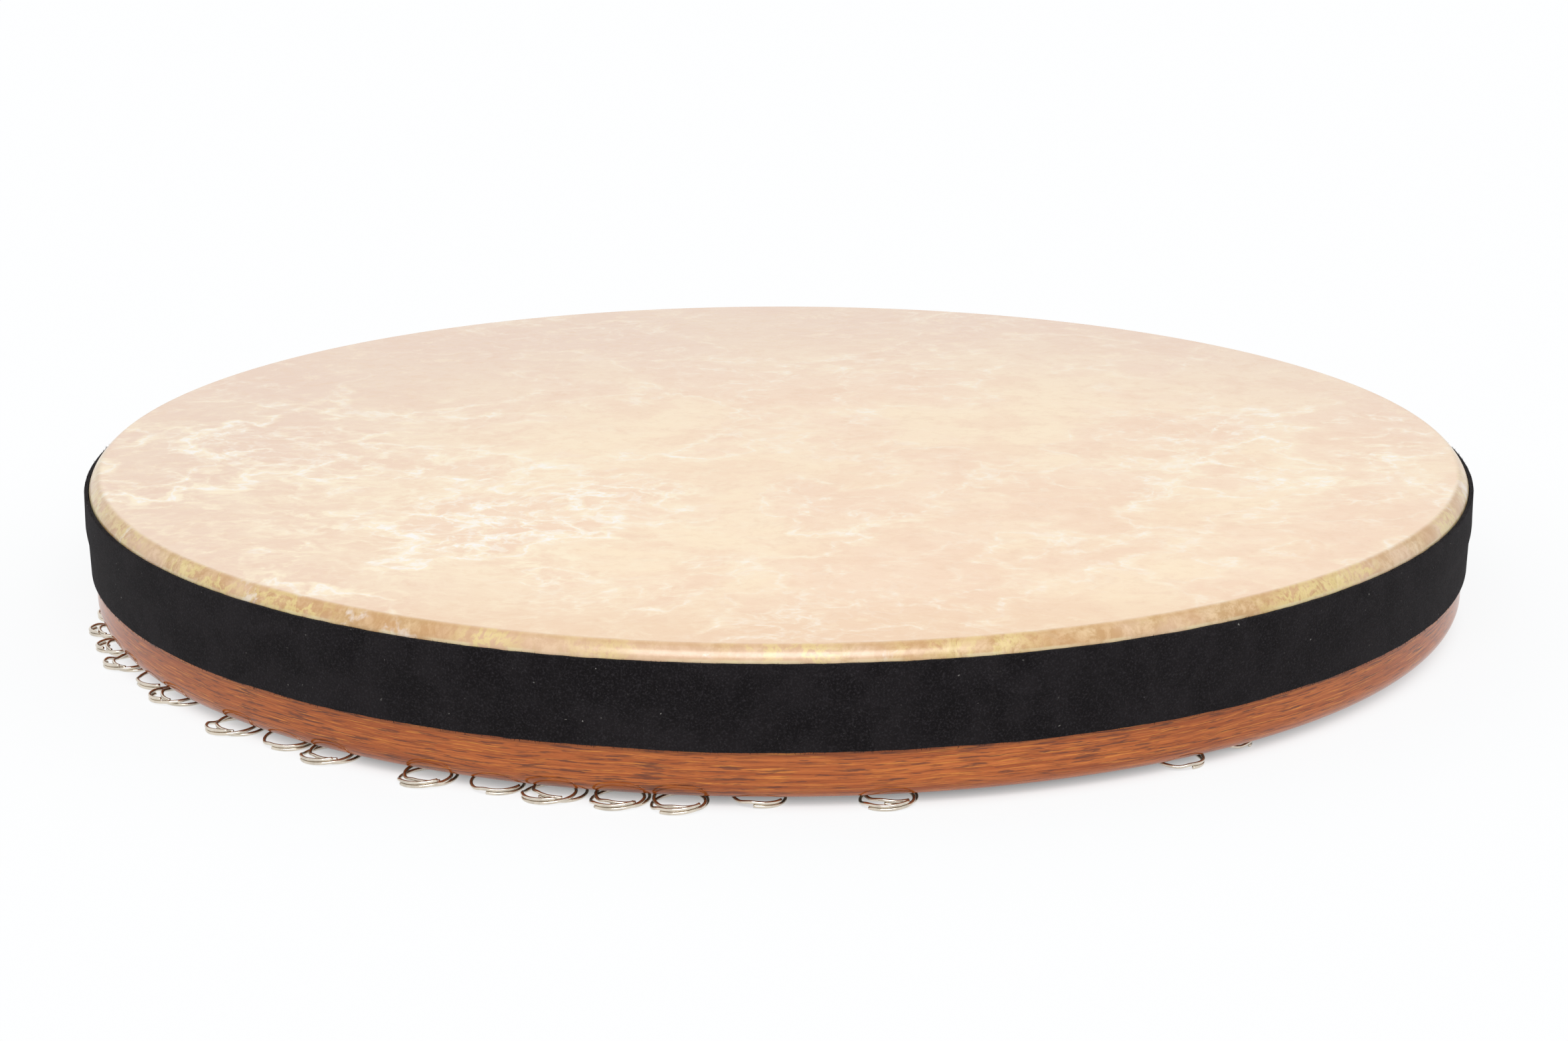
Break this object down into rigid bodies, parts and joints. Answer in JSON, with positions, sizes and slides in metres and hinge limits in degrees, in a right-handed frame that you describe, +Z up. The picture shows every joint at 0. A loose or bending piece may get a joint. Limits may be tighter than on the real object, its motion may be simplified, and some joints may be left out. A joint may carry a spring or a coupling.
{
  "type": "frame drum",
  "caption": "Large daf frame drum: a film head over a bent wood hoop with a suede band, and chains of wire rings that hang inside from screw eyes and jingle.",
  "frame": {"origin": "on the drum's axis, at the table that the rings under its open side stand on", "axes": "+Z up along the drum's axis, out of the head; -Y towards the picture's camera, +X to its right"},
  "size_m": [0.5302, 0.5302, 0.0572],
  "materials": {
    "wood": "clear gloss lacquer",
    "film": "marbled satin film",
    "collar": "matt",
    "suede": "napped suede",
    "eye_wire": "nickel plated",
    "ring_wire": "nickel plated"
  },
  "bodies": {
    "drum": {"frame_hoop": "wood", "drumhead": "film", "head_collar": "collar", "suede_band": "suede", "screw_eye_01": "eye_wire", "screw_eye_02": "eye_wire", "screw_eye_03": "eye_wire", "screw_eye_04": "eye_wire", "screw_eye_05": "eye_wire", "screw_eye_06": "eye_wire", "screw_eye_07": "eye_wire", "screw_eye_08": "eye_wire", "screw_eye_09": "eye_wire", "screw_eye_10": "eye_wire", "screw_eye_11": "eye_wire", "screw_eye_12": "eye_wire", "screw_eye_13": "eye_wire", "screw_eye_14": "eye_wire", "screw_eye_15": "eye_wire", "screw_eye_16": "eye_wire", "screw_eye_17": "eye_wire", "screw_eye_18": "eye_wire"},
    "eye_ring_01": {"eye_ring_01": "ring_wire"},
    "end_ring_01": {"end_ring_01": "ring_wire"},
    "eye_ring_02": {"eye_ring_02": "ring_wire"},
    "end_ring_02": {"end_ring_02": "ring_wire"},
    "eye_ring_03": {"eye_ring_03": "ring_wire"},
    "end_ring_03": {"end_ring_03": "ring_wire"},
    "eye_ring_04": {"eye_ring_04": "ring_wire"},
    "end_ring_04": {"end_ring_04": "ring_wire"},
    "eye_ring_05": {"eye_ring_05": "ring_wire"},
    "end_ring_05": {"end_ring_05": "ring_wire"},
    "eye_ring_06": {"eye_ring_06": "ring_wire"},
    "end_ring_06": {"end_ring_06": "ring_wire"},
    "eye_ring_07": {"eye_ring_07": "ring_wire"},
    "end_ring_07": {"end_ring_07": "ring_wire"},
    "eye_ring_08": {"eye_ring_08": "ring_wire"},
    "end_ring_08": {"end_ring_08": "ring_wire"},
    "eye_ring_09": {"eye_ring_09": "ring_wire"},
    "end_ring_09": {"end_ring_09": "ring_wire"},
    "eye_ring_10": {"eye_ring_10": "ring_wire"},
    "end_ring_10": {"end_ring_10": "ring_wire"},
    "eye_ring_11": {"eye_ring_11": "ring_wire"},
    "end_ring_11": {"end_ring_11": "ring_wire"},
    "eye_ring_12": {"eye_ring_12": "ring_wire"},
    "end_ring_12": {"end_ring_12": "ring_wire"},
    "eye_ring_13": {"eye_ring_13": "ring_wire"},
    "end_ring_13": {"end_ring_13": "ring_wire"},
    "eye_ring_14": {"eye_ring_14": "ring_wire"},
    "end_ring_14": {"end_ring_14": "ring_wire"},
    "eye_ring_15": {"eye_ring_15": "ring_wire"},
    "end_ring_15": {"end_ring_15": "ring_wire"},
    "eye_ring_16": {"eye_ring_16": "ring_wire"},
    "end_ring_16": {"end_ring_16": "ring_wire"},
    "eye_ring_17": {"eye_ring_17": "ring_wire"},
    "end_ring_17": {"end_ring_17": "ring_wire"},
    "eye_ring_18": {"eye_ring_18": "ring_wire"},
    "end_ring_18": {"end_ring_18": "ring_wire"}
  },
  "joints": [
    {"name": "chain_01_swing", "type": "hinge", "parent": "drum", "child": "eye_ring_01", "pos_m": [-0.24397, -0.02996, 0.0187], "axis": [0.1219, -0.9925, 0], "range_deg": [0, 140]},
    {"name": "chain_01_flip", "type": "hinge", "parent": "eye_ring_01", "child": "end_ring_01", "pos_m": [-0.24397, -0.02996, 0.0027], "axis": [0.7071, -0.7071, 0], "range_deg": [0, 170]},
    {"name": "chain_02_swing", "type": "hinge", "parent": "drum", "child": "eye_ring_02", "pos_m": [-0.21901, -0.11159, 0.0187], "axis": [0.454, -0.891, 0], "range_deg": [0, 140]},
    {"name": "chain_02_flip", "type": "hinge", "parent": "eye_ring_02", "child": "end_ring_02", "pos_m": [-0.21901, -0.11159, 0.0027], "axis": [0.9063, -0.4226, 0], "range_deg": [0, 170]},
    {"name": "chain_03_swing", "type": "hinge", "parent": "drum", "child": "eye_ring_03", "pos_m": [-0.16764, -0.17977, 0.0187], "axis": [0.7314, -0.682, 0], "range_deg": [0, 140]},
    {"name": "chain_03_flip", "type": "hinge", "parent": "eye_ring_03", "child": "end_ring_03", "pos_m": [-0.16764, -0.17977, 0.0027], "axis": [0.9962, -0.0872, 0], "range_deg": [0, 170]},
    {"name": "chain_04_swing", "type": "hinge", "parent": "drum", "child": "eye_ring_04", "pos_m": [-0.09604, -0.22626, 0.0187], "axis": [0.9205, -0.3907, 0], "range_deg": [0, 140]},
    {"name": "chain_04_flip", "type": "hinge", "parent": "eye_ring_04", "child": "end_ring_04", "pos_m": [-0.09604, -0.22626, 0.0027], "axis": [0.9659, 0.2588, 0], "range_deg": [0, 170]},
    {"name": "chain_05_swing", "type": "hinge", "parent": "drum", "child": "eye_ring_05", "pos_m": [-0.01286, -0.24546, 0.0187], "axis": [0.9986, -0.0523, 0], "range_deg": [0, 125]},
    {"name": "chain_05_flip", "type": "hinge", "parent": "eye_ring_05", "child": "end_ring_05", "pos_m": [-0.01269, -0.24214, 0.00305], "axis": [0.7431, 0.6691, 0], "range_deg": [0, 170]},
    {"name": "chain_06_swing", "type": "hinge", "parent": "drum", "child": "eye_ring_06", "pos_m": [0.07186, -0.23506, 0.0187], "axis": [0.9563, 0.2924, 0], "range_deg": [-10, 130]},
    {"name": "chain_06_flip", "type": "hinge", "parent": "eye_ring_06", "child": "end_ring_06", "pos_m": [0.07105, -0.2324, 0.00294], "axis": [-0.9336, 0.3584, 0], "range_deg": [0, 140]},
    {"name": "chain_07_swing", "type": "hinge", "parent": "drum", "child": "eye_ring_07", "pos_m": [0.14793, -0.1963, 0.0187], "axis": [0.7986, 0.6018, 0], "range_deg": [0, 120]},
    {"name": "chain_07_flip", "type": "hinge", "parent": "eye_ring_07", "child": "end_ring_07", "pos_m": [0.14463, -0.19193, 0.00366], "axis": [-0.1219, 0.9925, 0], "range_deg": [0, 170]},
    {"name": "chain_08_swing", "type": "hinge", "parent": "drum", "child": "eye_ring_08", "pos_m": [0.20615, -0.13387, 0.0187], "axis": [0.5446, 0.8387, 0], "range_deg": [-10, 130]},
    {"name": "chain_08_flip", "type": "hinge", "parent": "eye_ring_08", "child": "end_ring_08", "pos_m": [0.20382, -0.13236, 0.00294], "axis": [-0.9455, -0.3256, 0], "range_deg": [0, 140]},
    {"name": "chain_09_swing", "type": "hinge", "parent": "drum", "child": "eye_ring_09", "pos_m": [0.2395, -0.05529, 0.0187], "axis": [0.225, 0.9744, 0], "range_deg": [-10, 130]},
    {"name": "chain_09_flip", "type": "hinge", "parent": "eye_ring_09", "child": "end_ring_09", "pos_m": [0.23679, -0.05467, 0.00294], "axis": [-0.7771, -0.6293, 0], "range_deg": [0, 140]},
    {"name": "chain_10_swing", "type": "hinge", "parent": "drum", "child": "eye_ring_10", "pos_m": [0.24397, 0.02996, 0.0187], "axis": [-0.1219, 0.9925, 0], "range_deg": [-10, 130]},
    {"name": "chain_10_flip", "type": "hinge", "parent": "eye_ring_10", "child": "end_ring_10", "pos_m": [0.24121, 0.02962, 0.00294], "axis": [-0.515, -0.8572, 0], "range_deg": [0, 140]},
    {"name": "chain_11_swing", "type": "hinge", "parent": "drum", "child": "eye_ring_11", "pos_m": [0.21901, 0.11159, 0.0187], "axis": [-0.454, 0.891, 0], "range_deg": [0, 140]},
    {"name": "chain_11_flip", "type": "hinge", "parent": "eye_ring_11", "child": "end_ring_11", "pos_m": [0.21901, 0.11159, 0.0027], "axis": [-0.9063, 0.4226, 0], "range_deg": [0, 170]},
    {"name": "chain_12_swing", "type": "hinge", "parent": "drum", "child": "eye_ring_12", "pos_m": [0.16764, 0.17977, 0.0187], "axis": [-0.7314, 0.682, 0], "range_deg": [-10, 130]},
    {"name": "chain_12_flip", "type": "hinge", "parent": "eye_ring_12", "child": "end_ring_12", "pos_m": [0.16574, 0.17773, 0.00294], "axis": [0.1564, -0.9877, 0], "range_deg": [0, 140]},
    {"name": "chain_13_swing", "type": "hinge", "parent": "drum", "child": "eye_ring_13", "pos_m": [0.09604, 0.22626, 0.0187], "axis": [-0.9205, 0.3907, 0], "range_deg": [0, 140]},
    {"name": "chain_13_flip", "type": "hinge", "parent": "eye_ring_13", "child": "end_ring_13", "pos_m": [0.09604, 0.22626, 0.0027], "axis": [-0.9659, -0.2588, 0], "range_deg": [0, 170]},
    {"name": "chain_14_swing", "type": "hinge", "parent": "drum", "child": "eye_ring_14", "pos_m": [0.01286, 0.24546, 0.0187], "axis": [-0.9986, 0.0523, 0], "range_deg": [-10, 130]},
    {"name": "chain_14_flip", "type": "hinge", "parent": "eye_ring_14", "child": "end_ring_14", "pos_m": [0.01272, 0.24269, 0.00294], "axis": [0.7547, -0.6561, 0], "range_deg": [0, 140]},
    {"name": "chain_15_swing", "type": "hinge", "parent": "drum", "child": "eye_ring_15", "pos_m": [-0.07186, 0.23506, 0.0187], "axis": [-0.9563, -0.2924, 0], "range_deg": [0, 140]},
    {"name": "chain_15_flip", "type": "hinge", "parent": "eye_ring_15", "child": "end_ring_15", "pos_m": [-0.07186, 0.23506, 0.0027], "axis": [-0.5736, -0.8192, 0], "range_deg": [0, 170]},
    {"name": "chain_16_swing", "type": "hinge", "parent": "drum", "child": "eye_ring_16", "pos_m": [-0.14793, 0.1963, 0.0187], "axis": [-0.7986, -0.6018, 0], "range_deg": [-10, 130]},
    {"name": "chain_16_flip", "type": "hinge", "parent": "eye_ring_16", "child": "end_ring_16", "pos_m": [-0.14625, 0.19409, 0.00294], "axis": [0.9998, -0.0175, 0], "range_deg": [0, 140]},
    {"name": "chain_17_swing", "type": "hinge", "parent": "drum", "child": "eye_ring_17", "pos_m": [-0.20615, 0.13387, 0.0187], "axis": [-0.5446, -0.8387, 0], "range_deg": [-10, 130]},
    {"name": "chain_17_flip", "type": "hinge", "parent": "eye_ring_17", "child": "end_ring_17", "pos_m": [-0.20382, 0.13236, 0.00294], "axis": [0.9455, 0.3256, 0], "range_deg": [0, 140]},
    {"name": "chain_18_swing", "type": "hinge", "parent": "drum", "child": "eye_ring_18", "pos_m": [-0.2395, 0.05529, 0.0187], "axis": [-0.225, -0.9744, 0], "range_deg": [-10, 130]},
    {"name": "chain_18_flip", "type": "hinge", "parent": "eye_ring_18", "child": "end_ring_18", "pos_m": [-0.23679, 0.05467, 0.00294], "axis": [0.7771, 0.6293, 0], "range_deg": [0, 140]}
  ]
}
